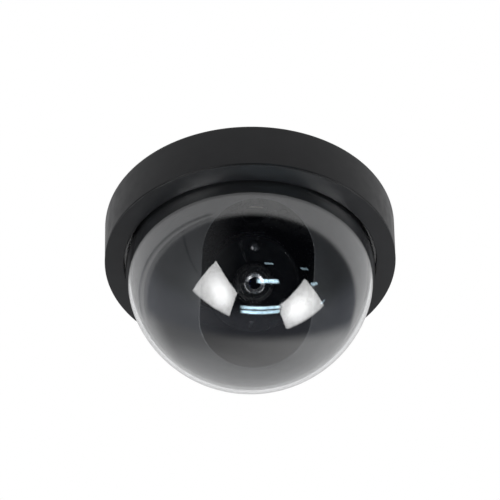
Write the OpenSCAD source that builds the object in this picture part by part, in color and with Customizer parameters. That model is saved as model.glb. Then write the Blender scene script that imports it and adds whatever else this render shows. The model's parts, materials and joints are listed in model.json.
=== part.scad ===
// Mini dome security camera, hung dome down from a ceiling.
// +Z points up into the ceiling. The origin is the centre of the ceiling mounting face.
// The lens looks towards -Y and down. All lengths are in millimetres.

/* [Housing] */
// Diameter of the housing at its front face
face_d = 120; // [118:0.5:124]
// Extra diameter of the housing at the ceiling, from the moulding draft
draft_d = 2.4; // [0:0.2:4]
// Height of the housing from the ceiling to its front face
housing_h = 20.8; // [20:0.1:24]
// Thickness of the housing side wall at the front face
shell_wall = 1.6; // [1.4:0.1:2]
// Height of the dark seam between the side wall and the bezel
seam = 0.4; // [0.2:0.1:0.6]

/* [Clear dome] */
// Outer radius of the clear dome
dome_r = 51.4; // [51:0.1:52]
// Wall thickness of the clear dome
dome_wall = 1.6; // [1.2:0.1:1.8]
// Gap between the dome and the bezel opening
dome_gap = 0.7; // [0.3:0.1:1]

/* [Shroud] */
// Outer radius of the inner shroud
shroud_r = 48.6; // [48:0.1:49]
// Wall thickness of the inner shroud
shroud_wall = 1.2; // [1:0.1:1.6]
// Width of the camera slot in the shroud
slot_w = 42; // [36:1:46]
// End to end length of the camera slot
slot_l = 65.2; // [65:0.2:67]
// Direction of the middle of the slot below the horizon, in degrees
slot_angle = 49.5; // [49:0.5:51]

/* [Camera] */
// Height of the tilt axis below the ceiling
pivot_drop = 29; // [29:0.5:31]
// Direction of the lens below the horizon at rest, in degrees
rest_tilt = 38; // [30:1:60]
// Radius of the round camera face plate
plate_r = 19; // [18:0.2:19]
// Distance from the tilt axis to the front of the lens
lens_reach = 24; // [23.5:0.5:26]

/* [Ceiling mounting] */
// Diameter of the circle of ceiling screws
screw_pcd = 106; // [105:0.5:107]
// Diameter of each ceiling screw hole
screw_d = 4.4; // [3.6:0.2:4.8]
// Diameter of the cable passage in the grommet
cable_d = 9; // [6:0.5:11]

/* [Hidden] */
$fn = 96;
eps = 0.01;

// Housing
face_r = face_d / 2;
back_r = face_r + draft_d / 2;
shell_in_r = face_r - shell_wall;
shell_top = 0.3;
edge = 0.8;
flange_t = 1;
face_t = 1.6;
spigot_wall = 2.2;
pocket_r = shell_in_r - spigot_wall;
spigot_h = 6;
opening_r = dome_r + dome_gap;

// Clear dome, its gasket and its retainer
dome_in_r = dome_r - dome_wall;
dome_drop = housing_h - 0.3;
gasket_t = 0.5;
dome_flange_t = 1.6;
dome_flange_z = housing_h - face_t - gasket_t;
retainer_t = 1.6;
retainer_in_r = dome_in_r + 0.4;

// Base
base_r = shell_in_r - 0.3;
base_t = 3;
boss_r = 11.95;
hub_bore_r = 12;
boss_bore_r = 8;
shoulder_r = 16.5;
grommet_r = 9;
seal_r = 49;
seal_w = 3;
seal_t = 0.8;
screw_count = 4;
clip_w = 10;
clip_t = 0.6;
clip_leg = 10;
clip_start = 48;
clip_reach = 57;
clip_screw_r = 52.2;
clip_screw_count = 4;
pilot_r = 1.1;
fine_pilot_r = 0.9;
clear_r = 1.3;
pillar_r = 3.2;
pillar_count = 4;
pilot_end = 1.5;
pad_r = 4.2;
pad_t = 1;

// Main board, and what it carries on its underside
board_z = 6;
board_t = 1.6;
board_r = 40;
board_in_r = 18.5;
board_screw_pos = 35;
board_hole_r = 1.4;
chip_x = -29;
chip_size = 12;
chip_t = 1.4;
sink_size = 13;
sink_base_t = 0.8;
fin_count = 5;
fin_pitch = 2.9;
fin_t = 1.2;
capacitor_x = 31;
capacitor_pitch = 9;
capacitor_r = 3;
tall_part_h = 3.6;
connector_y = 30;
connector_w = 6;
header_wall = 0.8;
pin_pitch = 2;
pin_w = 0.6;
socket_pos = 19;

// Stack of the pan bearing, as depths below the ceiling
washer_z = 11.7;
washer_t = 0.5;
table_z = 12.3;
table_t = 1.7;
table_r = 46;
pan_gap = 0.1;
retain_z = table_z + table_t + pan_gap;
retain_t = 1.8;
retain_r = 15.5;
retain_screw_pos = 10;
retain_screw_count = 3;
retain_pilot_end = 9;
cable_window_r = 5;
cable_window_pos = 26;

// Shroud
shroud_flange_z = table_z + table_t;
shroud_flange_t = 1.5;
shroud_flange_r = 38;
shroud_screw_pos = 43;
shroud_screw_count = 3;
slot_start = 27;
pole_hole_r = 0.3;

// Yoke, cradle and tilt axis
arm_in = 22.8;
arm_t = 2.2;
arm_w = 14;
arm_foot = 11.5;
foot_t = 1.6;
foot_screw_x = 7.2;
foot_screw_y = 4;
tilt_bore_r = 2;
tilt_pin_r = 1.95;
ear_in = 20;
ear_t = 2.2;
ear_r = 8;
cradle_back = 7;
cradle_t = 2;
roll_bore_r = 4.05;
roll_hub_r = 4;
slip_gap = 0.25;

// Camera, as distances along the lens axis from the tilt axis
plate_z = 13.5;
plate_t = 2;
face_screw_pos = 14.6;
face_screw_count = 3;
face_screw_r = 0.95;
case_boss_r = 2.3;
case_boss_z = 10;
roll_pilot_r = 1;
roll_washer_t = 1;
arrow_pos = 15.4;
arrow_r = 1.4;
arrow_depth = 0.6;
sensor_screw_pos = 9.5;
sensor_z = 8.5;
sensor_t = 1.2;
sensor_r = 13;
holder_r = 7.3;
holder_end = 18;
lens_r = 6;
lens_bore_r = 6.05;
lens_edge = 0.4;
glass_r = 4.1;
glass_t = 2.6;
glass_depth = 3;
glass_curve_r = 7.8;
rear_glass_r = 3.6;
stop_r = 2.6;
trim_in_r = 2.9;
lock_ring_t = 1.2;
barrel_start = 13;
grip_start = 20;
grip_len = 3;
grip_r = 7.5;
knurls = 30;
knurl_r = 0.35;

black = "#26272a";
soft_black = "#1b1c1e";
board_green = "#1f5a3a";
steel = "#b9bcc0";

// Shapes used by several parts

module ring(r_out, r_in, z0, z1) {
    translate([0, 0, z0]) difference() {
        cylinder(r = r_out, h = z1 - z0);
        translate([0, 0, -1]) cylinder(r = r_in, h = z1 - z0 + 2);
    }
}

module disc(r, z0, z1) {
    translate([0, 0, z0]) cylinder(r = r, h = z1 - z0);
}

module box(size_x, size_y, z0, z1) {
    translate([-size_x / 2, -size_y / 2, z0]) cube([size_x, size_y, z1 - z0]);
}

// Copies the children around Z at a radius, the first one at a start angle
module around(count, r, start = 0) {
    for (i = [0 : count - 1]) {
        rotate([0, 0, start + i * 360 / count]) translate([r, 0, 0]) children();
    }
}

// Screw with its head below z = 0, its shaft above, and a cross recess in the head
module screw_up(shaft_r, shaft_l, head_r, head_t) {
    difference() {
        union() {
            disc(shaft_r, -eps, shaft_l);
            translate([0, 0, -head_t]) cylinder(r1 = head_r * 0.8, r2 = head_r, h = head_t);
        }
        box(head_r * 1.1, head_r * 0.3, -head_t - 1, -head_t * 0.45);
        box(head_r * 0.3, head_r * 1.1, -head_t - 1, -head_t * 0.45);
    }
}

// Half of a hemispherical shell's outline, with a straight neck above its equator
module shell_profile(r_out, wall, neck) {
    difference() {
        intersection() {
            circle(r_out);
            translate([0, -r_out - 1]) square([r_out + 1, r_out + 1]);
        }
        circle(r_out - wall);
    }
    translate([r_out - wall, 0]) square([wall, neck]);
}

// Places children given in the lens frame: +Z along the lens, +Y up the camera's face
module in_lens_frame() {
    translate([0, 0, -pivot_drop]) rotate([90 + rest_tilt, 0, 0]) children();
}

// Base

module base_plate() color(black) difference() {
    union() {
        difference() {
            disc(base_r, -base_t, 0);
            ring(seal_r, seal_r - seal_w, -seal_t, 1);
        }
        disc(shoulder_r, -washer_z, -base_t + eps);
        disc(boss_r, -retain_z, -washer_z + eps);
        around(pillar_count, board_screw_pos, 45) disc(pillar_r, -board_z, -base_t + eps);
        around(screw_count, screw_pcd / 2) disc(pad_r, -base_t - pad_t, -base_t + eps);
    }
    disc(grommet_r, -base_t, 1);
    disc(boss_bore_r, -retain_z - 1, 1);
    around(screw_count, screw_pcd / 2) disc(screw_d / 2, -base_t - 2, 1);
    around(pillar_count, board_screw_pos, 45) disc(pilot_r, -board_z - 1, -pilot_end);
    around(clip_screw_count, clip_screw_r, 45) disc(pilot_r, -base_t - 1, -pilot_end / 2);
    around(retain_screw_count, retain_screw_pos, 90) disc(fine_pilot_r, -retain_z - 1, -retain_pilot_end);
}

module ceiling_seal() color("#3a3b3d") ring(seal_r, seal_r - seal_w, -seal_t, 0);

module cable_grommet() color(soft_black) difference() {
    union() {
        disc(grommet_r, -base_t, 0);
        disc(boss_bore_r, -2 * base_t, -base_t + eps);
    }
    disc(cable_d / 2, -2 * base_t - 1, 1);
}

module main_board() color(board_green) difference() {
    ring(board_r, board_in_r, -board_z - board_t, -board_z);
    around(pillar_count, board_screw_pos, 45) disc(board_hole_r, -board_z - board_t - 1, -board_z + 1);
}

module board_screws() color(steel)
    around(pillar_count, board_screw_pos, 45) translate([0, 0, -board_z - board_t])
        screw_up(pilot_r, board_t + 3.4, 2.4, 1.4);

// Places children on the underside of the main board, +Z up towards the board
module on_board(x, y) {
    translate([x, y, -board_z - board_t]) children();
}

module processor() color("#1d1d1f") on_board(chip_x, 0) box(chip_size, chip_size, -chip_t, 0);

module heat_sink() color("#9a9da1") on_board(chip_x, 0) {
    box(sink_size, sink_size, -chip_t - sink_base_t, -chip_t);
    for (i = [0 : fin_count - 1]) {
        translate([(i - (fin_count - 1) / 2) * fin_pitch, 0, 0])
            box(fin_t, sink_size, -tall_part_h, -chip_t - sink_base_t + eps);
    }
}

module capacitors() color("#6e7277") {
    for (i = [-1 : 1]) {
        on_board(capacitor_x, i * capacitor_pitch) disc(capacitor_r, -tall_part_h, 0);
    }
}

// Open header with a row of pins in its well
module header(pins) {
    size_x = (pins + 1.5) * pin_pitch;
    difference() {
        box(size_x, connector_w, -tall_part_h, 0);
        box(size_x - 2 * header_wall, connector_w - 2 * header_wall, -tall_part_h - 1, -header_wall);
    }
    for (i = [0 : pins - 1]) {
        translate([(i - (pins - 1) / 2) * pin_pitch, 0, 0])
            box(pin_w, pin_w, -tall_part_h + pin_w, -header_wall + eps);
    }
}

module video_connector() color("#e6e2d6") on_board(0, connector_y) header(5);

module power_connector() color("#e6e2d6") on_board(0, -connector_y) header(3);

module ribbon_socket() color("#8a6a45") on_board(socket_pos, socket_pos) rotate([0, 0, -45])
    box(14, 4, -tall_part_h / 2, 0);

module cover_clips() color(steel) around(clip_screw_count, 0, 45) {
    difference() {
        translate([clip_start, -clip_w / 2, -base_t - clip_t])
            cube([clip_reach - clip_start, clip_w, clip_t]);
        translate([clip_screw_r, 0, 0]) disc(clear_r, -base_t - 2, -base_t + 1);
    }
    translate([clip_reach - eps, -clip_w / 2, -base_t - clip_leg]) cube([clip_t, clip_w, clip_leg]);
}

module clip_screws() color(steel)
    around(clip_screw_count, clip_screw_r, 45) translate([0, 0, -base_t - clip_t])
        screw_up(pilot_r, clip_t + 2, 2.3, 1.3);

module pan_washer() color("#e4e2da") ring(shoulder_r, hub_bore_r, -washer_z - washer_t, -washer_z);

module pan_retainer() color(steel) difference() {
    ring(retain_r, boss_bore_r, -retain_z - retain_t, -retain_z);
    around(retain_screw_count, retain_screw_pos, 90)
        disc(fine_pilot_r + 0.1, -retain_z - retain_t - 1, -retain_z + 1);
}

module retainer_screws() color(steel)
    around(retain_screw_count, retain_screw_pos, 90) translate([0, 0, -retain_z - retain_t])
        screw_up(fine_pilot_r, 6, 1.8, 0.6);

// Cover

module housing_shell() color(black) rotate_extrude() polygon([
    [shell_in_r, -shell_top],
    [back_r - edge / 2, -shell_top],
    [back_r, -shell_top - edge / 2],
    [face_r, -housing_h + flange_t + seam],
    [shell_in_r, -housing_h + flange_t + seam]
]);

// The bezel's outer edge is rounded, and its spigot holds the dome's flange
module bezel_ring() color(black) rotate_extrude() polygon(concat(
    [for (a = [0 : 15 : 90]) [face_r - edge + edge * sin(a), -housing_h + edge - edge * cos(a)]],
    [
        [face_r, -housing_h + flange_t],
        [shell_in_r, -housing_h + flange_t],
        [shell_in_r, -housing_h + spigot_h],
        [pocket_r, -housing_h + spigot_h],
        [pocket_r, -housing_h + face_t],
        [opening_r, -housing_h + face_t],
        [opening_r, -housing_h + 0.3],
        [opening_r + 0.3, -housing_h]
    ]
));

module clear_dome() color([0.85, 0.88, 0.9, 0.35]) rotate_extrude() {
    translate([0, -dome_drop]) shell_profile(dome_r, dome_wall, dome_drop - dome_flange_z);
    translate([dome_in_r, -dome_flange_z]) square([pocket_r - 0.2 - dome_in_r, dome_flange_t]);
}

module dome_gasket() color(soft_black)
    ring(pocket_r - 0.2, opening_r + 0.9, -dome_flange_z - gasket_t, -dome_flange_z);

module dome_retainer() color(black) difference() {
    translate([0, 0, -dome_flange_z + dome_flange_t]) ring(pocket_r, retainer_in_r, 0, retainer_t);
    around(6, pocket_r) box(3, 5, -housing_h, 0);
}

// Pan

module turntable() color(soft_black) difference() {
    disc(table_r, -table_z - table_t, -table_z);
    disc(hub_bore_r, -table_z - table_t - 1, 0);
    around(2, cable_window_pos, 90) disc(cable_window_r, -table_z - table_t - 1, 0);
    around(shroud_screw_count, shroud_screw_pos, 90) disc(pilot_r, -table_z - table_t - 1, 0);
    foot_screw_places() disc(pilot_r, -table_z - table_t - 1, 0);
}

// Two screws in each yoke foot
module foot_screw_places() {
    for (side = [-1, 1]) {
        for (y = [-foot_screw_y, foot_screw_y]) {
            translate([side * (arm_in + foot_screw_x), y, 0]) children();
        }
    }
}

// Half shell with a straight neck and an inner flange, open at its pole, which the slot removes
module shroud_blank() rotate_extrude() difference() {
    union() {
        translate([0, -dome_drop]) shell_profile(shroud_r, shroud_wall, dome_drop - shroud_flange_z);
        translate([shroud_flange_r, -shroud_flange_z - shroud_flange_t])
            square([shroud_r - shroud_flange_r, shroud_flange_t]);
    }
    translate([0, -dome_drop - shroud_r - 1]) square([pole_hole_r, shroud_r]);
}

module shroud() color("#303236") difference() {
    shroud_blank();
    translate([0, 0, -dome_drop]) rotate([90 + slot_angle, 0, 0])
        translate([0, 0, slot_start]) linear_extrude(height = shroud_r) {
            square([slot_w, slot_l - slot_w], center = true);
            for (side = [-1, 1]) {
                translate([0, side * (slot_l - slot_w) / 2]) circle(slot_w / 2);
            }
        }
    around(shroud_screw_count, shroud_screw_pos, 90)
        disc(clear_r, -shroud_flange_z - shroud_flange_t - 1, 0);
}

module shroud_screws() color(steel)
    around(shroud_screw_count, shroud_screw_pos, 90) translate([0, 0, -shroud_flange_z - shroud_flange_t])
        screw_up(pilot_r, shroud_flange_t + table_t, 2.3, 1.3);

// Yoke arm on the +X side, an L with a round end at the tilt axis
module yoke_arm() difference() {
    union() {
        translate([arm_in, -arm_w / 2, -shroud_flange_z - foot_t]) cube([arm_foot, arm_w, foot_t]);
        translate([arm_in, -arm_w / 2, -pivot_drop])
            cube([arm_t, arm_w, pivot_drop - shroud_flange_z]);
        translate([arm_in, 0, -pivot_drop]) rotate([0, 90, 0]) cylinder(r = arm_w / 2, h = arm_t);
    }
    translate([arm_in - 1, 0, -pivot_drop]) rotate([0, 90, 0]) cylinder(r = tilt_bore_r, h = arm_t + 2);
    foot_screw_places() disc(clear_r, -shroud_flange_z - foot_t - 1, 0);
}

module yoke_right() color(soft_black) yoke_arm();

module yoke_left() color(soft_black) mirror([1, 0, 0]) yoke_arm();

module yoke_screws() color(steel)
    foot_screw_places() translate([0, 0, -shroud_flange_z - foot_t])
        screw_up(pilot_r, foot_t + table_t, 2.2, 1.2);

// Tilt

module cradle() color(soft_black) in_lens_frame() difference() {
    union() {
        translate([-ear_in - ear_t, -ear_r, -cradle_back]) cube([2 * (ear_in + ear_t), 2 * ear_r, cradle_t]);
        for (side = [-1, 1]) {
            translate([side * (ear_in + ear_t / 2), 0, 0]) {
                rotate([0, 90, 0]) translate([0, 0, -ear_t / 2]) cylinder(r = ear_r, h = ear_t);
                translate([-ear_t / 2, -ear_r, -cradle_back]) cube([ear_t, 2 * ear_r, cradle_back]);
            }
        }
    }
    disc(roll_bore_r, -cradle_back - 1, -cradle_back + cradle_t + 1);
    for (side = [-1, 1]) {
        translate([side * ear_in, 0, 0]) rotate([0, 90, 0])
            cylinder(r = tilt_pin_r, h = 4 * ear_t, center = true);
    }
}

module tilt_screws() color(steel) in_lens_frame() {
    for (side = [-1, 1]) {
        translate([side * (arm_in + arm_t + 0.1), 0, 0]) rotate([0, -side * 90, 0])
            screw_up(tilt_pin_r, arm_in + arm_t + 0.1 - ear_in, 3.8, 2);
    }
}

module tilt_washers() color("#e4e2da") in_lens_frame() {
    for (side = [-1, 1]) {
        translate([side * (ear_in + ear_t + slip_gap), 0, 0]) rotate([0, 90, 0])
            ring(5.5, tilt_pin_r, -slip_gap, slip_gap);
    }
}

// Roll: the camera module turns about the lens axis in the cradle

module camera_housing() color(soft_black) in_lens_frame() difference() {
    union() {
        rotate_extrude() polygon([
            [0, -cradle_back - pan_gap], [roll_hub_r, -cradle_back - pan_gap], [roll_hub_r, -4.9], [11, -4.9],
            [13.5, 5], [15.5, 9], [18.5, plate_z], [17, plate_z], [14, 9.2], [12, 5], [9.7, -3.4], [0, -3.4]
        ]);
        around(face_screw_count, face_screw_pos, 90) disc(case_boss_r, case_boss_z, plate_z);
    }
    around(face_screw_count, face_screw_pos, 90) disc(face_screw_r, case_boss_z + 0.5, plate_z + 1);
    disc(roll_pilot_r, -cradle_back - 1, -4.2);
}

module roll_washer() color(steel) in_lens_frame()
    ring(6.5, roll_pilot_r, -cradle_back - pan_gap - roll_washer_t, -cradle_back - pan_gap);

module roll_screw() color(steel) in_lens_frame()
    translate([0, 0, -cradle_back - pan_gap - roll_washer_t])
        screw_up(roll_pilot_r, roll_washer_t + 2.8, 3.2, 1.6);

module face_plate() color(soft_black) in_lens_frame() difference() {
    union() {
        disc(plate_r, plate_z, plate_z + plate_t);
        around(2, sensor_screw_pos) disc(2.2, sensor_z + sensor_t, plate_z + eps);
    }
    disc(holder_r + 0.3, sensor_z, plate_z + plate_t + 1);
    around(face_screw_count, face_screw_pos, 90) disc(1.2, plate_z - 1, plate_z + plate_t + 1);
    around(2, sensor_screw_pos) disc(fine_pilot_r, sensor_z, plate_z);
    translate([0, -arrow_pos, plate_z + plate_t - arrow_depth]) rotate([0, 0, -90])
        linear_extrude(height = 1) circle(r = arrow_r, $fn = 3);
}

module face_screws() color(steel) in_lens_frame()
    around(face_screw_count, face_screw_pos, 90) translate([0, 0, plate_z + plate_t]) rotate([180, 0, 0])
        screw_up(face_screw_r, plate_t + 2.6, 2.1, 1.2);

module sensor_board() color(board_green) in_lens_frame() difference() {
    disc(sensor_r, sensor_z, sensor_z + sensor_t);
    around(2, sensor_screw_pos) disc(1, sensor_z - 1, sensor_z + sensor_t + 1);
}

module sensor_board_screws() color(steel) in_lens_frame()
    around(2, sensor_screw_pos) translate([0, 0, sensor_z]) screw_up(fine_pilot_r, sensor_t + 2.5, 1.8, 1);

module sensor_chip() color("#2a2c33") in_lens_frame() box(8, 7, sensor_z + sensor_t, sensor_z + sensor_t + 1);

module lens_holder() color(soft_black) in_lens_frame() difference() {
    union() {
        box(13.4, 16, sensor_z + sensor_t, sensor_z + sensor_t + 2);
        disc(holder_r, sensor_z + sensor_t + 1, holder_end);
    }
    box(10, 10, sensor_z, sensor_z + sensor_t + 1.3);
    disc(4.6, sensor_z, barrel_start);
    disc(lens_bore_r, sensor_z + sensor_t + 2.6, holder_end + 1);
}

module ir_filter() color([0.75, 0.3, 0.35, 0.5]) in_lens_frame()
    disc(4.6, sensor_z + sensor_t + 1.7, sensor_z + sensor_t + 2.2);

module lock_ring() color(soft_black) in_lens_frame()
    ring(8.2, lens_r + 0.1, holder_end, holder_end + lock_ring_t);

// Lens and focus ring

module lens_barrel() color(soft_black) in_lens_frame() rotate_extrude() polygon([
    [lens_r, barrel_start], [lens_r, lens_reach - lens_edge], [lens_r - lens_edge, lens_reach],
    [glass_r, lens_reach], [glass_r, lens_reach - glass_depth],
    [stop_r, lens_reach - glass_depth - 0.6], [stop_r, barrel_start + 2],
    [rear_glass_r, barrel_start + 2], [rear_glass_r, barrel_start]
]);

module lens_front_ring() color("#d5d8dc") in_lens_frame()
    ring(glass_r, trim_in_r, lens_reach - 0.9, lens_reach - 0.1);

module front_element() color([0.4, 0.5, 0.65, 0.5]) in_lens_frame()
    translate([0, 0, lens_reach - glass_depth]) rotate_extrude() intersection() {
        square([glass_r, glass_t]);
        translate([0, glass_t - glass_curve_r]) circle(glass_curve_r);
    }

module rear_element() color([0.4, 0.5, 0.65, 0.5]) in_lens_frame()
    disc(rear_glass_r, barrel_start + 0.2, barrel_start + 1.8);

module focus_ring() color(soft_black) in_lens_frame() difference() {
    ring(grip_r, lens_r + 0.1, grip_start, grip_start + grip_len);
    around(knurls, grip_r + 0.1) disc(knurl_r, grip_start - 1, grip_start + grip_len + 1);
}

base_plate();
ceiling_seal();
cable_grommet();
main_board();
board_screws();
processor();
heat_sink();
capacitors();
video_connector();
power_connector();
ribbon_socket();
cover_clips();
clip_screws();
pan_washer();
pan_retainer();
retainer_screws();
housing_shell();
bezel_ring();
clear_dome();
dome_gasket();
dome_retainer();
turntable();
shroud();
shroud_screws();
yoke_left();
yoke_right();
yoke_screws();
cradle();
tilt_screws();
tilt_washers();
camera_housing();
roll_washer();
roll_screw();
face_plate();
face_screws();
sensor_board();
sensor_board_screws();
sensor_chip();
lens_holder();
ir_filter();
lock_ring();
lens_barrel();
lens_front_ring();
front_element();
rear_element();
focus_ring();
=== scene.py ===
import json
import math

import bmesh
import bpy
from mathutils import Matrix, Vector


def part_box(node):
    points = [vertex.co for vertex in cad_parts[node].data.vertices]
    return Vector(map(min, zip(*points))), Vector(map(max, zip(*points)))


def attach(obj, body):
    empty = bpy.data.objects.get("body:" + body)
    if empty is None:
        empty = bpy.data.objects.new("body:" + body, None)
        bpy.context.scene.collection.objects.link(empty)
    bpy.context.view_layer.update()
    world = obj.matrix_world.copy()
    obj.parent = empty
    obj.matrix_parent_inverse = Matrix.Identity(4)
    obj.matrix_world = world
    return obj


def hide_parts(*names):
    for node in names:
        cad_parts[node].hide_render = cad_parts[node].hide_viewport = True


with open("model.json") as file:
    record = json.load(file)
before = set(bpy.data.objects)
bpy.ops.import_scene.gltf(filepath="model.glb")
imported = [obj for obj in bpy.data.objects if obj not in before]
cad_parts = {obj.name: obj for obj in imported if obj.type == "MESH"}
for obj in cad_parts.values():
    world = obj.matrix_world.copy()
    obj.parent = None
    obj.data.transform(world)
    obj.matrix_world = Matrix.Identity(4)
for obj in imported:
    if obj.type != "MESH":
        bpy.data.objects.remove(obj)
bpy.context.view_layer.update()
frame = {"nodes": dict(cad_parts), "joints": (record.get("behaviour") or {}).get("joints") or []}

# Small dome security camera, hung dome down from a ceiling. Lengths are metres, and MM turns
# millimetres into metres. An outline is a list of (distance from the axis, height along it), where a
# third number rounds that corner.

MM = 0.001
JOINTS = {joint["name"]: joint for joint in frame["joints"]}
SLOTS = {name: node.material_slots[0].material.name for name, node in frame["nodes"].items()}
for imported in bpy.data.materials:
    imported.name = "cad_" + imported.name

# Sizes, from the frame where it has them

BEZEL_LOW, BEZEL_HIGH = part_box("bezel_ring")
SHELL_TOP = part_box("housing_shell")[1]
DOME_LOW, DOME_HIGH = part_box("clear_dome")
FACE_Z = BEZEL_LOW.z
FACE_R = BEZEL_HIGH.x
BACK_R = SHELL_TOP.x
BACK_Z = SHELL_TOP.z
FACE_RIM = 0.5 * MM
EDGE = 0.8 * MM
SHELL_WALL = 1.6 * MM
SPIGOT_WALL = 2.2 * MM
SPIGOT_H = 6.0 * MM
SEAM_ROUND = 0.45 * MM
SEAM_GAP = 0.4 * MM
FACE_T = 1.6 * MM
OPENING_R = 52.1 * MM

DOME_R = 51.4 * MM
DOME_CENTRE_Z = DOME_LOW.z + DOME_R
DOME_WALL = 1.6 * MM
DOME_FLANGE_R = DOME_HIGH.x
DOME_FLANGE_T = 1.6 * MM

SHROUD_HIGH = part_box("shroud")[1]
SHROUD_R = SHROUD_HIGH.x
SHROUD_TOP = SHROUD_HIGH.z
SHROUD_WALL = 1.2 * MM
SLOT_LIP = 0.25 * MM
SHROUD_FLANGE_T = 1.5 * MM
SHROUD_FLANGE_R = 38.0 * MM
SLOT_ANGLE = math.radians(49.5)
SLOT_HALF_W = 21.0 * MM
SLOT_HALF_L = 32.6 * MM

PIVOT = Vector(JOINTS["roll_turn"]["pos_m"])
LENS_AXIS = Vector(JOINTS["roll_turn"]["axis"])
LENS_TILT = math.atan2(-LENS_AXIS.y, LENS_AXIS.z)
LENS_FRAME = Matrix.Translation(PIVOT) @ Matrix.Rotation(LENS_TILT, 4, "X")

# Distances along the lens axis from the tilt axis, and radii about it
PLATE_Z = 13.5 * MM
PLATE_T = 2.0 * MM
PLATE_R = 19.0 * MM
FACE_SCREW_POS = 14.6 * MM
TILT_SCREW_POS = 25.1 * MM
ARROW_POS = 15.4 * MM
ARROW_R = 1.4 * MM
HOLDER_R = 7.3 * MM
HOLDER_START = 9.7 * MM
HOLDER_END = 18.0 * MM
LENS_R = 6.0 * MM
LENS_BORE_R = 6.05 * MM
BARREL_START = 13.0 * MM
BARREL_END = 24.0 * MM
GLASS_R = 4.1 * MM
GLASS_BACK = 21.0 * MM
GLASS_T = 2.6 * MM
GLASS_CURVE_R = 7.8 * MM
GRIP_START = 20.0 * MM
GRIP_LEN = 3.0 * MM
GRIP_R = 7.5 * MM
KNURLS = 30


# Node helpers

def add(tree, kind, inputs=(), **settings):
    """Adds a node, sets its properties, and links or sets its inputs."""
    node = tree.nodes.new(kind)
    for key, value in settings.items():
        setattr(node, key, value)
    for key, value in dict(inputs).items():
        if isinstance(value, bpy.types.NodeSocket):
            tree.links.new(value, node.inputs[key])
        else:
            node.inputs[key].default_value = value
    return node


def put(name, data):
    """A new object in the scene that holds some data."""
    made = bpy.data.objects.new(name, data)
    bpy.context.scene.collection.objects.link(made)
    return made


def new_tree(owner):
    """The owner's node tree, emptied."""
    owner.use_nodes = True
    owner.node_tree.nodes.clear()
    return owner.node_tree


def noise(tree, where, size, detail=3.0, stretch=(1, 1, 1)):
    """Noise with features of about that size in metres, from 0 to 1."""
    spread = add(tree, "ShaderNodeVectorMath", {0: where, 1: stretch}, operation="MULTIPLY")
    settings = {"Vector": spread.outputs[0], "Scale": 1.0 / size, "Detail": detail}
    return add(tree, "ShaderNodeTexNoise", settings).outputs["Fac"]


def remap(tree, value, low, high, to_low, to_high):
    """Value from low..high to to_low..to_high, smooth at both ends."""
    inputs = {0: value, 1: low, 2: high, 3: to_low, 4: to_high}
    return add(tree, "ShaderNodeMapRange", inputs, interpolation_type="SMOOTHSTEP").outputs[0]


def math_node(tree, operation, a, b=0.0):
    return add(tree, "ShaderNodeMath", {0: a, 1: b}, operation=operation).outputs[0]


def away(tree, value, centre):
    """How far a value is from a centre, either way."""
    return math_node(tree, "ABSOLUTE", math_node(tree, "SUBTRACT", value, centre))


def along(tree, way, direction):
    """How much a way points along a direction, from -1 to 1."""
    inputs = {0: way, 1: direction}
    return add(tree, "ShaderNodeVectorMath", inputs, operation="DOT_PRODUCT").outputs["Value"]


def mix_colour(tree, factor, a, b):
    node = add(tree, "ShaderNodeMix", data_type="RGBA")
    for index, value in ((0, factor), (6, a), (7, b)):
        if isinstance(value, bpy.types.NodeSocket):
            tree.links.new(value, node.inputs[index])
        else:
            node.inputs[index].default_value = value
    return node.outputs[2]


def rgba(colour, gain=1.0):
    return (colour[0] * gain, colour[1] * gain, colour[2] * gain, 1.0)


# Materials

def surface(name, colour, roughness, metallic=0.0, specular=0.5, blotch=0.12, blotch_size=12 * MM,
            grain_size=0.35 * MM, grain_depth=0.004 * MM, spread=0.04, wear=0.2, brushed=(1, 1, 1)):
    """A solid material with uneven colour, worn edges, uneven gloss and a fine grain in object space."""
    material = bpy.data.materials.new(name)
    tree = new_tree(material)
    where = add(tree, "ShaderNodeTexCoord").outputs["Object"]
    inputs = {"Metallic": metallic, "Specular IOR Level": specular}
    shader = add(tree, "ShaderNodeBsdfPrincipled", inputs)
    cloudy = noise(tree, where, blotch_size)
    base = mix_colour(tree, remap(tree, cloudy, 0.3, 0.7, 0, 1), rgba(colour, 1 - blotch),
                      rgba(colour, 1 + blotch))
    edges = add(tree, "ShaderNodeNewGeometry").outputs["Pointiness"]
    rubbed = math_node(tree, "MULTIPLY", remap(tree, edges, 0.53, 0.62, 0, wear),
                       remap(tree, noise(tree, where, 2.5 * MM), 0.35, 0.6, 0.3, 1))
    bleach = 0.25 if metallic < 0.5 else 0.1
    lighter = [c + bleach * (1 - c) for c in colour]
    tree.links.new(mix_colour(tree, rubbed, base, rgba(lighter)), shader.inputs["Base Color"])
    gloss = noise(tree, where, blotch_size * 0.4, stretch=brushed)
    tree.links.new(remap(tree, gloss, 0.3, 0.7, roughness - spread, roughness + spread),
                   shader.inputs["Roughness"])
    grain = noise(tree, where, grain_size, 2.0, brushed)
    bump = add(tree, "ShaderNodeBump", {"Strength": 0.6, "Distance": grain_depth, "Height": grain})
    tree.links.new(bump.outputs[0], shader.inputs["Normal"])
    add(tree, "ShaderNodeOutputMaterial", {"Surface": shader.outputs[0]})
    return material


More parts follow.
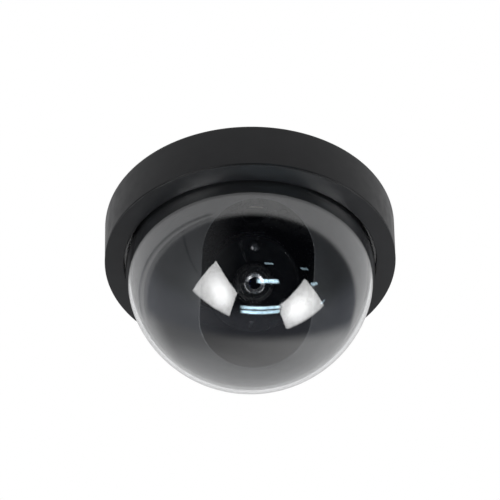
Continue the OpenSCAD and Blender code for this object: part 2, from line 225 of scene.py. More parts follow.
def clear(name, colour, roughness, ior, coat=0.0, smear=0.02, tint=(1, 1, 1)):
    """Clear plastic or glass with faint smears. Rays from lamps and from matt surfaces pass straight."""
    material = bpy.data.materials.new(name)
    tree = new_tree(material)
    where = add(tree, "ShaderNodeTexCoord").outputs["Object"]
    inputs = {"Base Color": rgba(colour), "IOR": ior, "Transmission Weight": 1.0,
              "Specular Tint": rgba(tint), "Coat Weight": coat, "Coat IOR": 1.6, "Coat Roughness": 0.0}
    shader = add(tree, "ShaderNodeBsdfPrincipled", inputs)
    film = remap(tree, noise(tree, where, 14 * MM, 4.0), 0.5, 0.75, roughness, roughness + smear)
    tree.links.new(film, shader.inputs["Roughness"])
    wave = noise(tree, where, 18 * MM, 1.0)
    bump = add(tree, "ShaderNodeBump", {"Strength": 0.3, "Distance": 0.02 * MM, "Height": wave})
    tree.links.new(bump.outputs[0], shader.inputs["Normal"])
    path = add(tree, "ShaderNodeLightPath")
    straight = math_node(tree, "MAXIMUM", path.outputs["Is Shadow Ray"], path.outputs["Is Diffuse Ray"])
    open_shader = add(tree, "ShaderNodeBsdfTransparent", {"Color": rgba(colour, 0.95)})
    shaders = {0: straight, 1: shader.outputs[0], 2: open_shader.outputs[0]}
    both = add(tree, "ShaderNodeMixShader", shaders)
    add(tree, "ShaderNodeOutputMaterial", {"Surface": both.outputs[0]})
    return material


def circuit_board():
    """Green lacquer over copper tracks, which run on a grid and show as a paler green under the lacquer."""
    material = surface("circuit_board", (0.004, 0.016, 0.010), 0.32, specular=0.5, blotch=0.2,
                       grain_size=1.2 * MM, grain_depth=0.02 * MM, wear=0.1)
    tree = material.node_tree
    shader = next(n for n in tree.nodes if n.type == "BSDF_PRINCIPLED")
    where = add(tree, "ShaderNodeTexCoord").outputs["Object"]
    tracks = add(tree, "ShaderNodeTexBrick", {"Vector": where, "Scale": 220.0, "Mortar Size": 0.14,
                                              "Mortar Smooth": 0.2, "Color1": (0, 0, 0, 1),
                                              "Color2": (0, 0, 0, 1), "Mortar": (1, 1, 1, 1)})
    plain = shader.inputs["Base Color"].links[0].from_socket
    lined = mix_colour(tree, tracks.outputs["Fac"], plain, (0.007, 0.028, 0.016, 1))
    tree.links.new(lined, shader.inputs["Base Color"])
    return material


MATERIALS = {
    "housing_plastic": surface("housing_plastic", (0.0105, 0.0110, 0.0128), 0.35, specular=0.43),
    "shroud_plastic": surface("shroud_plastic", (0.0520, 0.0535, 0.0570), 0.34, wear=0.15),
    "inner_plastic": surface("inner_plastic", (0.0055, 0.0058, 0.0066), 0.22, wear=0.1),
    "soft_rubber": surface("soft_rubber", (0.014, 0.014, 0.015), 0.75, specular=0.3, wear=0.1),
    "seal_foam": surface("seal_foam", (0.05, 0.05, 0.052), 0.95, specular=0.1, blotch=0.3,
                         grain_size=0.7 * MM, grain_depth=0.12 * MM),
    "board": circuit_board(),
    "chip": surface("chip", (0.016, 0.016, 0.018), 0.55),
    "heat_sink": surface("heat_sink", (0.55, 0.56, 0.58), 0.38, 1.0, brushed=(1, 12, 12)),
    "capacitor_can": surface("capacitor_can", (0.42, 0.43, 0.46), 0.3, 1.0),
    "connector": surface("connector", (0.16, 0.15, 0.13), 0.42),
    "ribbon_socket": surface("ribbon_socket", (0.22, 0.13, 0.07), 0.45),
    "spring_steel": surface("spring_steel", (0.60, 0.61, 0.63), 0.3, 1.0, brushed=(10, 10, 1)),
    "screw_steel": surface("screw_steel", (0.17, 0.17, 0.18), 0.32, 1.0, blotch_size=2 * MM),
    "slip_washer": surface("slip_washer", (0.045, 0.045, 0.047), 0.4),
    "sensor": surface("sensor", (0.02, 0.022, 0.035), 0.12, spread=0.03),
    "lens_black": surface("lens_black", (0.008, 0.008, 0.009), 0.28, wear=0.25),
    "lens_trim": surface("lens_trim", (0.50, 0.50, 0.52), 0.26, 1.0, spread=0.04, blotch_size=2 * MM),
    "clear_plastic": clear("clear_plastic", (0.90, 0.91, 0.912), 0.012, 1.585, coat=1.0, smear=0.006),
    "lens_glass": clear("lens_glass", (0.90, 0.92, 0.95), 0.0, 1.6, smear=0.0, tint=(0.4, 0.5, 0.9)),
    "filter_glass": clear("filter_glass", (0.75, 0.35, 0.38), 0.02, 1.5),
}


# Mesh helpers

def rounded(outline, radius, steps=4):
    """A closed outline with its corners rounded. A corner given as (x, y, r) has its own radius."""
    made = []
    for i, corner in enumerate(outline):
        here = Vector(corner[:2])
        back = Vector(outline[i - 1][:2]) - here
        ahead = Vector(outline[(i + 1) % len(outline)][:2]) - here
        own = corner[2] if len(corner) > 2 else radius
        reach = min(own, 0.45 * back.length, 0.45 * ahead.length)
        if reach <= 0:
            made.append(tuple(here))
            continue
        start = here + back.normalized() * reach
        end = here + ahead.normalized() * reach
        for s in range(steps + 1):
            t = s / steps
            made.append(tuple(start * (1 - t) ** 2 + here * (2 * t * (1 - t)) + end * t * t))
    return made


def arc(centre, radius, start, end, steps):
    """Points on an arc, with its angles in degrees."""
    turns = [math.radians(start + (end - start) * i / steps) for i in range(steps + 1)]
    return [(centre[0] + radius * math.cos(a), centre[1] + radius * math.sin(a)) for a in turns]


def finish_mesh(name, points, faces, sharp=35):
    """A closed mesh with outward normals, smooth except at its sharp edges."""
    mesh = bpy.data.meshes.new(name)
    mesh.from_pydata([tuple(p) for p in points], [], faces)
    mesh.validate()
    work = bmesh.new()
    work.from_mesh(mesh)
    bmesh.ops.remove_doubles(work, verts=work.verts, dist=0.001 * MM)
    bmesh.ops.recalc_face_normals(work, faces=work.faces)
    work.to_mesh(mesh)
    work.free()
    mesh.shade_smooth()
    mesh.set_sharp_from_angle(angle=math.radians(sharp))
    return mesh


def lathe(name, outline, turns=160, place=Matrix(), swell=None, sharp=35):
    """A mesh turned from a closed outline. swell(angle, point) may move a point outward as it turns."""
    points, faces, rows = [], [], []
    for r, z in outline:
        if r < 1e-7:
            rows.append([len(points)] * turns)
            points.append(place @ Vector((0, 0, z)))
            continue
        rows.append(list(range(len(points), len(points) + turns)))
        for i in range(turns):
            a = 2 * math.pi * i / turns
            out = r + (swell(a, (r, z)) if swell else 0.0)
            points.append(place @ Vector((out * math.cos(a), out * math.sin(a), z)))
    for k, row in enumerate(rows):
        ahead = rows[(k + 1) % len(rows)]
        for i in range(turns):
            j = (i + 1) % turns
            corners = list(dict.fromkeys((row[i], row[j], ahead[j], ahead[i])))
            if len(corners) > 2:
                faces.append(corners)
    return finish_mesh(name, points, faces, sharp)


def show(mesh, body, *nodes, slot=None):
    """Puts a mesh into the scene as a piece that rides on a body and stands for CAD nodes."""
    slot = slot or SLOTS[nodes[0]]
    piece = put(mesh.name, mesh)
    mesh.materials.clear()
    mesh.materials.append(MATERIALS[slot])
    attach(piece, body)
    if nodes:
        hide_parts(*nodes)
    return piece


def cut(mesh, cutters):
    """The mesh with each cutter mesh taken out of it."""
    for cutter in cutters:
        holder = put("cut_work", mesh)
        tool = put("cut_tool", cutter)
        change = holder.modifiers.new("cut", "BOOLEAN")
        change.operation, change.solver, change.object = "DIFFERENCE", "EXACT", tool
        bpy.context.view_layer.update()
        solved = holder.evaluated_get(bpy.context.evaluated_depsgraph_get())
        done = bpy.data.meshes.new_from_object(solved)
        done.name = mesh.name
        for thing in (holder, tool):
            bpy.data.objects.remove(thing)
        mesh = done
    mesh.shade_smooth()
    mesh.set_sharp_from_angle(angle=math.radians(35))
    return mesh


def prism(name, corners, low, high, place=Matrix()):
    """A straight solid over a polygon of (x, y) corners."""
    n = len(corners)
    points = [place @ Vector((x, y, z)) for z in (low, high) for x, y in corners]
    sides = [(i, (i + 1) % n, n + (i + 1) % n, n + i) for i in range(n)]
    return finish_mesh(name, points, sides + [tuple(range(n)), tuple(range(n, 2 * n))])


def block(name, size_x, size_y, low, high, place=Matrix()):
    x, y = size_x / 2, size_y / 2
    return prism(name, [(-x, -y), (x, -y), (x, y), (-x, y)], low, high, place)


def joined(name, placed):
    """One mesh made of (mesh, place) pairs."""
    points, faces = [], []
    for mesh, place in placed:
        first = len(points)
        points += [place @ v.co for v in mesh.vertices]
        faces += [[first + v for v in f.vertices] for f in mesh.polygons]
    return finish_mesh(name, points, faces)


def around(count, radius, start=0.0):
    """Places spread evenly about Z, the first at a start angle in degrees."""
    out = Matrix.Translation((radius, 0, 0))
    return [Matrix.Rotation(math.radians(start + 360 * i / count), 4, "Z") @ out for i in range(count)]


# Cover

def housing_shell():
    """Side wall: wider at the ceiling from its draft, with a rounded edge at the seam."""
    inner, seam_z = FACE_R - SHELL_WALL, FACE_Z + FACE_RIM + SEAM_GAP
    outline = [(inner, BACK_Z, 0.2 * MM), (BACK_R - 0.1 * MM, BACK_Z, 0.8 * MM),
               (BACK_R, BACK_Z - EDGE, 0.5 * MM), (FACE_R, seam_z, SEAM_ROUND),
               (inner, seam_z, 0.2 * MM)]
    show(lathe("side_wall", rounded(outline, EDGE), 256), "cover", "housing_shell")


def bezel_ring():
    """Flat front ring with a rounded outer edge, a soft inner lip and the spigot that holds the dome."""
    inner, pocket = FACE_R - SHELL_WALL, FACE_R - SHELL_WALL - SPIGOT_WALL
    top = FACE_Z + SPIGOT_H
    outline = [(FACE_R, FACE_Z, EDGE), (FACE_R, FACE_Z + FACE_RIM, 0.1 * MM), (inner, FACE_Z + FACE_RIM, 0),
               (inner, top, 0.4 * MM), (pocket, top, 0.4 * MM), (pocket, FACE_Z + FACE_T, 0),
               (OPENING_R, FACE_Z + FACE_T, 0.15 * MM), (OPENING_R, FACE_Z, 0.45 * MM)]
    show(lathe("front_bezel", rounded(outline, 0, 6), 256), "cover", "bezel_ring")


def clear_dome():
    """Hemispherical shell with a straight neck and the flange that sits on the gasket."""
    centre, inner = (0, DOME_CENTRE_Z), DOME_R - DOME_WALL
    top, under = DOME_HIGH.z, DOME_HIGH.z - DOME_FLANGE_T
    outline = arc(centre, DOME_R, -90, 0, 90)
    outline += [(DOME_R, under), (DOME_FLANGE_R, under), (DOME_FLANGE_R, top), (inner, top)]
    outline += arc(centre, inner, 0, -90, 90)
    outline[0], outline[-1] = (0, outline[0][1]), (0, outline[-1][1])
    show(lathe("dome", outline, 256, sharp=50), "cover", "clear_dome")


# Shroud

def stadium(share):
    """Point of the slot's outline, across and up the slot, at a share of the way round it."""
    straight = SLOT_HALF_L - SLOT_HALF_W
    lengths = [2 * straight, math.pi * SLOT_HALF_W, 2 * straight, math.pi * SLOT_HALF_W]
    walked = share * sum(lengths)
    if walked < lengths[0]:
        return SLOT_HALF_W, walked - straight
    walked -= lengths[0]
    if walked < lengths[1]:
        a = walked / SLOT_HALF_W
        return SLOT_HALF_W * math.cos(a), straight + SLOT_HALF_W * math.sin(a)
    walked -= lengths[1]
    if walked < lengths[2]:
        return -SLOT_HALF_W, straight - walked
    a = (walked - lengths[2]) / SLOT_HALF_W
    return -SLOT_HALF_W * math.cos(a), -straight - SLOT_HALF_W * math.sin(a)


def shroud_column(across, up):
    """The shroud's section that starts at one point of the slot's edge: up the outside, in along the
    flange and back down the inside. Each part follows a great circle from the slot's middle."""
    middle = Vector((0, -math.cos(SLOT_ANGLE), -math.sin(SLOT_ANGLE)))
    rise = Vector((0, -math.sin(SLOT_ANGLE), math.cos(SLOT_ANGLE)))
    side = (Vector((1, 0, 0)) * across + rise * up).normalized()
    reach, centre = math.hypot(across, up), Vector((0, 0, DOME_CENTRE_Z))
    last = math.atan2(-middle.z, side.z)

    def skin(radius, inset, steps=44):
        first = math.asin((reach + inset) / radius)
        angles = [first + (last - first) * i / steps for i in range(steps + 1)]
        return [centre + (middle * math.cos(a) + side * math.sin(a)) * radius for a in angles]

    inner_r = SHROUD_R - SHROUD_WALL
    outside, inside = skin(SHROUD_R, SLOT_LIP), skin(inner_r, SLOT_LIP)
    out = Vector((outside[-1].x, outside[-1].y, 0)).normalized()
    section = rounded([(SHROUD_R, DOME_CENTRE_Z), (SHROUD_R, SHROUD_TOP, 0.3 * MM),
                       (SHROUD_FLANGE_R, SHROUD_TOP, 0.3 * MM),
                       (SHROUD_FLANGE_R, SHROUD_TOP - SHROUD_FLANGE_T, 0.3 * MM),
                       (inner_r, SHROUD_TOP - SHROUD_FLANGE_T, 0.4 * MM), (inner_r, DOME_CENTRE_Z)], 0)
    neck = [out * r + Vector((0, 0, z)) for r, z in section]
    rim = [(inner_r + SLOT_LIP, math.asin(reach / inner_r)),
           (SHROUD_R - SLOT_LIP, math.asin(reach / SHROUD_R))]
    edge = [centre + (middle * math.cos(a) + side * math.sin(a)) * r for r, a in rim]
    return outside[:-1] + neck + inside[-2::-1] + edge


def shroud():
    """Dark liner under the dome, with the long rounded slot that the camera looks through."""
    columns = 288
    rows = [shroud_column(*stadium(i / columns)) for i in range(columns)]
    n = len(rows[0])
    points = [p for row in rows for p in row]
    faces = []
    for i in range(columns):
        j = (i + 1) % columns
        for k in range(n):
            m = (k + 1) % n
            faces.append((i * n + k, i * n + m, j * n + m, j * n + k))
    show(finish_mesh("liner", points, faces, 40), "pan", "shroud")


# Camera and lens

def in_lens(*more):
    """The lens frame, then each further place in turn."""
    made = LENS_FRAME.copy()
    for m in more:
        made = made @ m
    return made


def face_plate():
    """Round front of the camera, with a turned groove near its rim and a small triangular mark."""
    top, low, hole = PLATE_Z + PLATE_T, PLATE_Z, HOLDER_R + 0.3 * MM
    groove_in, groove_out, groove_z = 17.2 * MM, 17.6 * MM, top - 0.25 * MM
    sharp = 0.05 * MM
    outline = [(hole, low, 0.1 * MM), (hole, top, 0.35 * MM), (groove_in, top, sharp),
               (groove_in, groove_z, sharp), (groove_out, groove_z, sharp), (groove_out, top, sharp),
               (PLATE_R, top, 0.7 * MM), (PLATE_R, low, 0.2 * MM)]
    plate = lathe("camera_face", rounded(outline, 0.1 * MM), 160, LENS_FRAME)
    thirds = [math.radians(120 * i) for i in range(3)]
    mark = [(ARROW_R * math.sin(a), -ARROW_POS - ARROW_R * math.cos(a)) for a in thirds]
    floor_z = top - 0.6 * MM
    notch = prism("notch", mark, floor_z, top + 1 * MM, LENS_FRAME)
    show(cut(plate, [notch]), "roll", "face_plate")
    inlay = prism("arrow_mark", mark, floor_z, floor_z + 0.1 * MM, LENS_FRAME)
    show(inlay, "roll", slot="lens_black")


def camera_case():
    """Thin bell behind the face plate, down to the roll hub."""
    outline = [(0, -7.1), (4, -7.1), (4, -4.9), (11, -4.9), (13.5, 5), (15.5, 9), (18.5, 13.5), (17, 13.5),
               (14, 9.2), (12, 5), (9.7, -3.4), (0, -3.4)]
    scaled = [(r * MM, z * MM, 0 if r == 0 else 0.4 * MM) for r, z in outline]
    show(lathe("camera_case", rounded(scaled, 0), 128, LENS_FRAME), "roll", "camera_housing")


def lens_holder():
    """Tube that the barrel screws into, on a square foot, with a ribbed outside."""
    ribs, rib_pitch, edge, foot_top = 5, 0.55 * MM, 0.35 * MM, HOLDER_START + 2 * MM
    outline = [(LENS_BORE_R, HOLDER_END)] + arc((HOLDER_R - edge, HOLDER_END - edge), edge, 90, 0, 4)
    for i in range(ribs):
        z = HOLDER_END - 0.5 * MM - i * rib_pitch
        outline += [(HOLDER_R, z), (HOLDER_R - 0.15 * MM, z - 0.2 * MM), (HOLDER_R, z - 0.4 * MM)]
    outline += [(HOLDER_R, foot_top), (LENS_BORE_R, foot_top)]
    tube = lathe("lens_mount", outline, 128, LENS_FRAME)
    foot = block("foot", 13.4 * MM, 16 * MM, HOLDER_START, foot_top, LENS_FRAME)
    show(joined("lens_mount", [(tube, Matrix()), (foot, Matrix())]), "roll", "lens_holder")


def lock_ring():
    """Thin locking ring against the holder, with two spanner slots."""
    low, high = HOLDER_END, HOLDER_END + 1.2 * MM
    inner, outer = LENS_R + 0.1 * MM, 8.2 * MM
    outline = rounded([(inner, low), (inner, high), (outer, high), (outer, low)], 0.2 * MM)
    ring = lathe("lens_lock_ring", outline, 96, LENS_FRAME)
    sides = [in_lens(Matrix.Translation((0, side * outer, 0))) for side in (-1, 1)]
    slots = [block("slot", 1.2 * MM, 4 * MM, high - 0.6 * MM, high + 1 * MM, side) for side in sides]
    show(cut(ring, slots), "roll", "lock_ring")


def lens_barrel():
    """Threaded barrel with a stepped front bore around the glass."""
    pitch, depth, thread_end = 0.5 * MM, 0.22 * MM, 19.9 * MM
    outline, z = [(LENS_R - 0.3 * MM, BARREL_START)], BARREL_START + 0.3 * MM
    while z < thread_end - pitch:
        outline += [(LENS_R, z), (LENS_R - depth, z + pitch / 2)]
        z += pitch
    rim_r, stop_r, rear_r = 5.3 * MM, 2.6 * MM, 3.6 * MM
    step, rear = BARREL_END - 0.35 * MM, BARREL_START + 2 * MM
    front = [(LENS_R, thread_end), (LENS_R, BARREL_END, 0.5 * MM), (rim_r, BARREL_END, 0.15 * MM),
             (rim_r, step, 0.1 * MM), (GLASS_R + 0.35 * MM, step, 0.1 * MM),
             (GLASS_R, BARREL_END - 0.1 * MM), (GLASS_R, GLASS_BACK), (stop_r, GLASS_BACK - 0.6 * MM),
             (stop_r, rear), (rear_r, rear), (rear_r, BARREL_START)]
    outline += rounded(front, 0)[1:]
    show(lathe("lens_barrel_black", outline, 128, LENS_FRAME), "lens", "lens_barrel")


def lens_front_ring():
    """Bright ring that holds the front glass, with a conical face that reaches in over it."""
    outline = [(2.3 * MM, BARREL_END - 0.62 * MM), (2.5 * MM, BARREL_END - 0.45 * MM),
               (3.6 * MM, BARREL_END - 0.02 * MM, 0.3 * MM), (GLASS_R, BARREL_END - 0.1 * MM, 0.25 * MM),
               (GLASS_R, BARREL_END - 0.9 * MM), (3.1 * MM, BARREL_END - 0.85 * MM)]
    outline = rounded(outline, 0.06 * MM)
    show(lathe("lens_trim_ring", outline, 128, LENS_FRAME), "lens", "lens_front_ring")


def lens_glass():
    """Crowned front element and the flat-backed rear element."""
    peak, glass_r = GLASS_BACK + GLASS_T, GLASS_R - 0.05 * MM
    edge = math.degrees(math.acos(glass_r / GLASS_CURVE_R))
    crown = arc((0, peak - GLASS_CURVE_R), GLASS_CURVE_R, edge, 90, 24)
    crown[-1] = (0, peak)
    front = [(0, GLASS_BACK), (glass_r, GLASS_BACK)] + crown
    show(lathe("front_glass", front, 96, LENS_FRAME), "lens", "front_element")
    low, high = BARREL_START + 0.2 * MM, BARREL_START + 1.8 * MM
    rear_r, curve_r = 3.5 * MM, 12 * MM
    bulge = arc((0, high - curve_r), curve_r, math.degrees(math.acos(rear_r / curve_r)), 90, 12)
    bulge[-1] = (0, high)
    back = [(0, low), (rear_r, low)] + bulge
    show(lathe("rear_glass", back, 96, LENS_FRAME), "lens", "rear_element")


def focus_ring():
    """Knurled grip ring: its outside dips at each knurl, and fades out at its chamfers."""
    low, high, inner = GRIP_START, GRIP_START + GRIP_LEN, LENS_R + 0.1 * MM

    def dip(angle, point):
        if point[0] < GRIP_R - 0.05 * MM:
            return 0.0
        return -0.3 * MM * (0.5 + 0.5 * math.cos(KNURLS * angle)) ** 2

    outline = [(inner, low), (inner, high), (GRIP_R - 0.45 * MM, high),
               (GRIP_R - 0.3 * MM, high - 0.05 * MM), (GRIP_R, high - 0.3 * MM), (GRIP_R, low + 0.3 * MM),
               (GRIP_R - 0.3 * MM, low + 0.05 * MM), (GRIP_R - 0.45 * MM, low)]
    show(lathe("focus_grip", outline, KNURLS * 12, LENS_FRAME, dip, 30), "focus", "focus_ring")


# Screws

def screw(shaft_r, shaft_l, head_r, head_t):
    """Pan head screw with a cross recess: the head is below z = 0 and the shaft above it."""
    outline = [(head_r * x, head_t * y) for x, y in arc((0, 0), 1, -90, 0, 8)]
    outline[0] = (0, -head_t)
    outline += [(head_r, -0.02 * head_t), (shaft_r, 0), (shaft_r, shaft_l - shaft_r * 0.4),
                (shaft_r * 0.6, shaft_l), (0, shaft_l)]
    body = lathe("screw", outline, 40)
    arms = [block("arm", head_r * w, head_r * h, -head_t - 1 * MM, -head_t * 0.42)
            for w, h in ((1.15, 0.26), (0.26, 1.15))]
    return cut(body, arms)


def at_z(z):
    """The place on the Z axis at a height of z millimetres."""
    return Matrix.Translation((0, 0, z * MM))


def face_screw_places():
    """Three screws in the face plate, each turned a little differently, heads outward."""
    places = []
    for i, place in enumerate(around(3, FACE_SCREW_POS, 90)):
        turn = Matrix.Rotation(math.radians(25 + 30 * i), 4, "Z")
        out = Matrix.Translation((0, 0, PLATE_Z + PLATE_T))
        places.append(in_lens(place, out, Matrix.Rotation(math.pi, 4, "X"), turn))
    return places


def tilt_screw_places():
    """One shoulder screw on each side of the cradle, along the tilt axis."""
    places = []
    for side in (-1, 1):
        out = Matrix.Translation((side * TILT_SCREW_POS, 0, 0))
        places.append(in_lens(out, Matrix.Rotation(-side * math.pi / 2, 4, "Y")))
    return places


def screws():
    """Every screw: its node, its body, its shaft radius and length, its head radius and height in
    millimetres, and its places, which are those of its CAD node."""
    feet = [Matrix.Translation((x * MM, y * MM, 0)) @ at_z(-15.6) for x in (-30, 30) for y in (-4, 4)]
    kinds = [
        ("board_screws", "base", (1.1, 5, 2.4, 1.4), [p @ at_z(-7.6) for p in around(4, 35 * MM, 45)]),
        ("clip_screws", "base", (1.1, 2.6, 2.3, 1.3), [p @ at_z(-3.6) for p in around(4, 52.2 * MM, 45)]),
        ("retainer_screws", "base", (0.9, 6, 1.8, 0.6), [p @ at_z(-15.9) for p in around(3, 10 * MM, 90)]),
        ("shroud_screws", "pan", (1.1, 3.2, 2.3, 1.3), [p @ at_z(-15.5) for p in around(3, 43 * MM, 90)]),
        ("yoke_screws", "pan", (1.1, 3.3, 2.2, 1.2), feet),
        ("tilt_screws", "tilt", (1.95, 5.1, 3.8, 2), tilt_screw_places()),
        ("face_screws", "roll", (0.95, 4.6, 2.1, 1.2), face_screw_places()),
        ("sensor_board_screws", "roll", (0.9, 3.7, 1.8, 1),
         [in_lens(p, at_z(8.5)) for p in around(2, 9.5 * MM)]),
        ("roll_screw", "roll", (1, 3.8, 3.2, 1.6), [in_lens(at_z(-8.1))]),
    ]
    for node, body, sizes, places in kinds:
        one = screw(*(size * MM for size in sizes))
        show(joined(node + "_cross", [(one, place) for place in places]), body, node)


# Stage, light and camera

# The camera: its direction from the object, its distance in metres, its lens in millimetres, its roll
# about the view, and how far below the middle of the ceiling face it aims.
CAMERA_AZIMUTH = math.radians(-5.0)
CAMERA_DROP = math.radians(42.63)
CAMERA_AWAY = 0.492
CAMERA_LENS = 83.15
CAMERA_ROLL = math.radians(-0.98)
AIM_DOWN = 7.3 * MM
FLOOR_Z = -0.9
FLOOR_SIZE = 60.0

# Brightness of each part of the surroundings, and two directions in it
ROOM = (0.006, 0.0065, 0.009)
ROOM_LEFT = (0.11, 0.112, 0.118)
GLOW = (0.108, 0.112, 0.130)
TENT = (0.56, 0.56, 0.565)
TENT_LEFT = (0.52, 0.52, 0.525)
BACKDROP_LEFT = (0.26, 0.26, 0.265)
BACKDROP_RIGHT = (0.66, 0.66, 0.665)
BACKDROP_WAY = (0, 0.932, -0.363)
CORNER_WAY = (0.463, -0.886, 0)

# Softboxes: centre, the two full edges, and watts
SOFTBOXES = {
    "softbox_left": ((-0.337, -0.287, -0.619), (0.146, 0.031, -0.545), (-0.040, 0.380, 0.018), 2.8),
    "softbox_right": ((0.451, -0.107, -0.600), (0.091, 0.345, 0.041), (-0.174, 0.059, -0.454), 2.3),
}

# Lamps of the room, all along X at one height: y, lowest x, highest x, width and strength
TUBE_Z = -0.7
TUBE_COLOUR = (0.62, 0.86, 1.0, 1)
TUBES = [
    (-0.197, -0.14, 0.31, 0.052, 14),
    (-0.147, -0.13, 0.30, 0.052, 14),
    (-0.560, 0.02, 0.35, 0.100, 14),
    (-0.960, 0.16, 0.34, 0.080, 4),
    (-0.870, 0.94, 1.23, 0.120, 2.5),
    (-0.450, 0.98, 1.30, 0.110, 6),
    (-0.020, 1.08, 1.34, 0.050, 4),
]


def make_camera():
    """Looks up at the object from in front of it, as the photo does."""
    out = Vector((math.sin(CAMERA_AZIMUTH) * math.cos(CAMERA_DROP),
                  -math.cos(CAMERA_AZIMUTH) * math.cos(CAMERA_DROP), -math.sin(CAMERA_DROP)))
    data = bpy.data.cameras.new("camera")
    data.lens, data.sensor_width = CAMERA_LENS, 36.0
    data.clip_start, data.clip_end = 0.01, 100.0
    camera = put("camera", data)
    right = Vector((math.cos(CAMERA_AZIMUTH), math.sin(CAMERA_AZIMUTH), 0))
    up = right.cross(-out)
    camera.location = out * CAMERA_AWAY
    aim = -up * AIM_DOWN - camera.location
    turn = aim.to_track_quat("-Z", "Y")
    camera.rotation_mode = "QUATERNION"
    camera.rotation_quaternion = turn @ Matrix.Rotation(CAMERA_ROLL, 4, "Z").to_quaternion()
    bpy.context.scene.camera = camera


def stripe(tree, value, centre, half):
    """1 on a thin line where value is near centre, and 0 away from it."""
    return remap(tree, away(tree, value, centre), half * 0.4, half, 1, 0)


def tent_colour(tree, x, z, behind):
    """Pale tent, dimmer on its left and towards the lower left behind the object."""
    top = mix_colour(tree, remap(tree, x, -0.65, -0.15, 1, 0), rgba(TENT), rgba(TENT_LEFT))
    low = mix_colour(tree, remap(tree, x, -0.8, 0.8, 0, 1), rgba(BACKDROP_LEFT), rgba(BACKDROP_RIGHT))
    low = mix_colour(tree, remap(tree, behind, 0.7, 1.0, 0, 1), low, rgba(TENT))
    return mix_colour(tree, remap(tree, z, -0.25, 0.1, 0, 1), low, top)


def room_colour(tree, way, x, z, behind):
    """Dim room, paler on its left with one dark corner, with a faint glow from below."""
    corner = math_node(tree, "MULTIPLY", stripe(tree, along(tree, way, CORNER_WAY), 0.0, 0.022),
                       remap(tree, z, -0.5, -0.44, 0, 1))
    pale = math_node(tree, "MULTIPLY", remap(tree, x, -0.9, -0.2, 1, 0),
                     remap(tree, corner, 0, 1, 1, 0.15))
    room = mix_colour(tree, pale, rgba(ROOM), rgba(ROOM_LEFT))
    glow = mix_colour(tree, remap(tree, behind, 0.02, 0.36, 0, 1), (0, 0, 0, 1), rgba(GLOW))
    return add(tree, "ShaderNodeVectorMath", {0: room, 1: glow}, operation="ADD").outputs[0]


def tent_cover(tree, x, z, height, behind):
    """1 where the tent is: above, apart from two rails on its left, and behind. 0 in the room."""
    rails = math_node(tree, "ADD", stripe(tree, z, 0.26, 0.026), stripe(tree, height, 0.165, 0.018))
    rails = math_node(tree, "MULTIPLY", rails, remap(tree, x, -0.62, -0.52, 1, 0))
    above = math_node(tree, "MULTIPLY", remap(tree, height, 0.075, 0.19, 0, 1),
                      remap(tree, rails, 0, 1, 1, 0.25))
    return math_node(tree, "MAXIMUM", above, remap(tree, behind, 0.52, 0.69, 0, 1))


def make_world():
    """A pale tent above and behind the object, and a dim room in front of and below it. They light
    the object and reflect in it, while the camera sees plain white."""
    world = bpy.data.worlds.new("tent")
    bpy.context.scene.world = world
    tree = new_tree(world)
    way = add(tree, "ShaderNodeTexCoord").outputs["Generated"]
    x, y, z = add(tree, "ShaderNodeSeparateXYZ", {0: way}).outputs
    height = math_node(tree, "ADD", z, math_node(tree, "MULTIPLY", y, 0.038))
    behind = along(tree, way, BACKDROP_WAY)
    colour = mix_colour(tree, tent_cover(tree, x, z, height, behind),
                        room_colour(tree, way, x, z, behind), tent_colour(tree, x, z, behind))
    seen = add(tree, "ShaderNodeLightPath").outputs["Is Camera Ray"]
    colour = mix_colour(tree, seen, colour, (1, 1, 1, 1))
    back = add(tree, "ShaderNodeBackground", {"Color": colour, "Strength": 1.0})
    add(tree, "ShaderNodeOutputWorld", {"Surface": back.outputs[0]})


def softbox(name, centre, across, up, watts):
    """Rectangular area light, given by its centre and its two full edges, brightest in the middle."""
    a, b = Vector(across), Vector(up)
    normal = a.cross(b).normalized()
    if normal.dot(Vector(centre)) < 0:
        b, normal = -b, -normal
    data = bpy.data.lights.new(name, "AREA")
    data.shape, data.size, data.size_y, data.energy = "RECTANGLE", a.length, b.length, watts
    tree = new_tree(data)
    spot = add(tree, "ShaderNodeNewGeometry").outputs["Parametric"]
    inputs = {0: spot, 1: (0.5, 0.5, 0)}
    off = add(tree, "ShaderNodeVectorMath", inputs, operation="DISTANCE").outputs["Value"]
    cloth = remap(tree, noise(tree, spot, 0.09, 4.0), 0.3, 0.7, -0.08, 0.08)
    level = math_node(tree, "ADD", remap(tree, off, 0.05, 0.6, 1.4, 0.62), cloth)
    glow = add(tree, "ShaderNodeEmission", {"Color": (1, 1, 1, 1), "Strength": level})
    add(tree, "ShaderNodeOutputLight", {"Surface": glow.outputs[0]})
    lamp = put(name, data)
    x, z = a.normalized(), normal
    y = z.cross(x)
    lamp.matrix_world = Matrix.Translation(centre) @ Matrix((x, y, z)).transposed().to_4x4()
    lamp.visible_camera = False


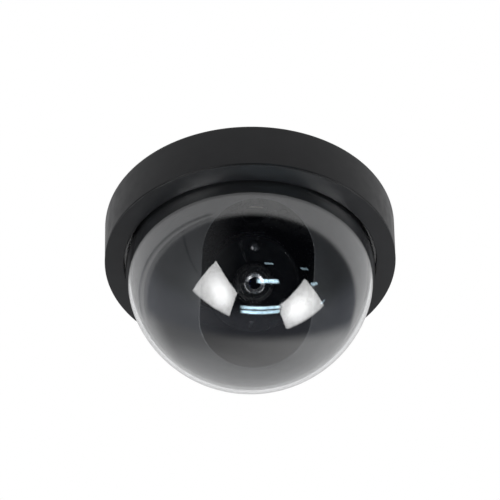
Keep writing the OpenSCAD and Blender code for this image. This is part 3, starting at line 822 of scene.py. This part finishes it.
def tube(name, y, low_x, high_x, width, strength):
    """Bright strip that only shows as a reflection, like a lamp in the room."""
    low_y, high_y = y - width / 2, y + width / 2
    corners = [(low_x, low_y, TUBE_Z), (high_x, low_y, TUBE_Z), (high_x, high_y, TUBE_Z),
               (low_x, high_y, TUBE_Z)]
    mesh = bpy.data.meshes.new(name)
    mesh.from_pydata(corners, [], [(0, 1, 2, 3)])
    material = bpy.data.materials.new(name)
    tree = new_tree(material)
    where = add(tree, "ShaderNodeTexCoord").outputs
    place = add(tree, "ShaderNodeSeparateXYZ", {0: where["Generated"]})
    ends = remap(tree, away(tree, place.outputs[0], 0.5), 0.36, 0.5, 1, 0)
    core = remap(tree, away(tree, place.outputs[1], 0.5), 0.12, 0.5, 1, 0)
    wavy = remap(tree, noise(tree, where["Object"], 0.06, 2.0), 0.3, 0.7, 0.55, 1.0)
    level = math_node(tree, "MULTIPLY", math_node(tree, "MULTIPLY", ends, core), wavy)
    level = math_node(tree, "MULTIPLY", level, strength)
    glow = add(tree, "ShaderNodeEmission", {"Color": TUBE_COLOUR, "Strength": level})
    add(tree, "ShaderNodeOutputMaterial", {"Surface": glow.outputs[0]})
    mesh.materials.append(material)
    lamp = put(name, mesh)
    lamp.visible_camera = lamp.visible_diffuse = False
    lamp.visible_transmission = lamp.visible_shadow = False


def make_floor():
    """Pale floor far below the object, which only the camera sees."""
    half = FLOOR_SIZE / 2
    corners = [(x * half, y * half, FLOOR_Z) for x, y in ((-1, -1), (1, -1), (1, 1), (-1, 1))]
    mesh = bpy.data.meshes.new("floor")
    mesh.from_pydata(corners, [], [(0, 1, 2, 3)])
    material = bpy.data.materials.new("floor")
    tree = new_tree(material)
    matt = add(tree, "ShaderNodeBsdfDiffuse", {"Color": (0.9, 0.9, 0.9, 1)})
    lift = add(tree, "ShaderNodeEmission", {"Color": (1, 1, 1, 1), "Strength": 0.6})
    both = add(tree, "ShaderNodeAddShader", {0: matt.outputs[0], 1: lift.outputs[0]})
    add(tree, "ShaderNodeOutputMaterial", {"Surface": both.outputs[0]})
    mesh.materials.append(material)
    floor = put("floor", mesh)
    floor.visible_glossy = floor.visible_diffuse = False
    floor.visible_transmission = floor.visible_shadow = False


def make_lights():
    """Two softboxes in front of the object and the lamps of the room."""
    for name, (centre, across, up, watts) in SOFTBOXES.items():
        softbox(name, centre, across, up, watts)
    for number, sizes in enumerate(TUBES, 1):
        tube("room_tube_%d" % number, *sizes)


# Put it together: the stage, a material on every CAD node, then the pieces that replace some of them

make_camera()
make_world()
make_floor()
make_lights()
for name, node in frame["nodes"].items():
    node.data.materials.clear()
    node.data.materials.append(MATERIALS[SLOTS[name]])
housing_shell()
bezel_ring()
clear_dome()
shroud()
face_plate()
camera_case()
lens_holder()
lock_ring()
lens_barrel()
lens_front_ring()
lens_glass()
focus_ring()
screws()

bpy.context.scene.view_settings.view_transform = "Standard"
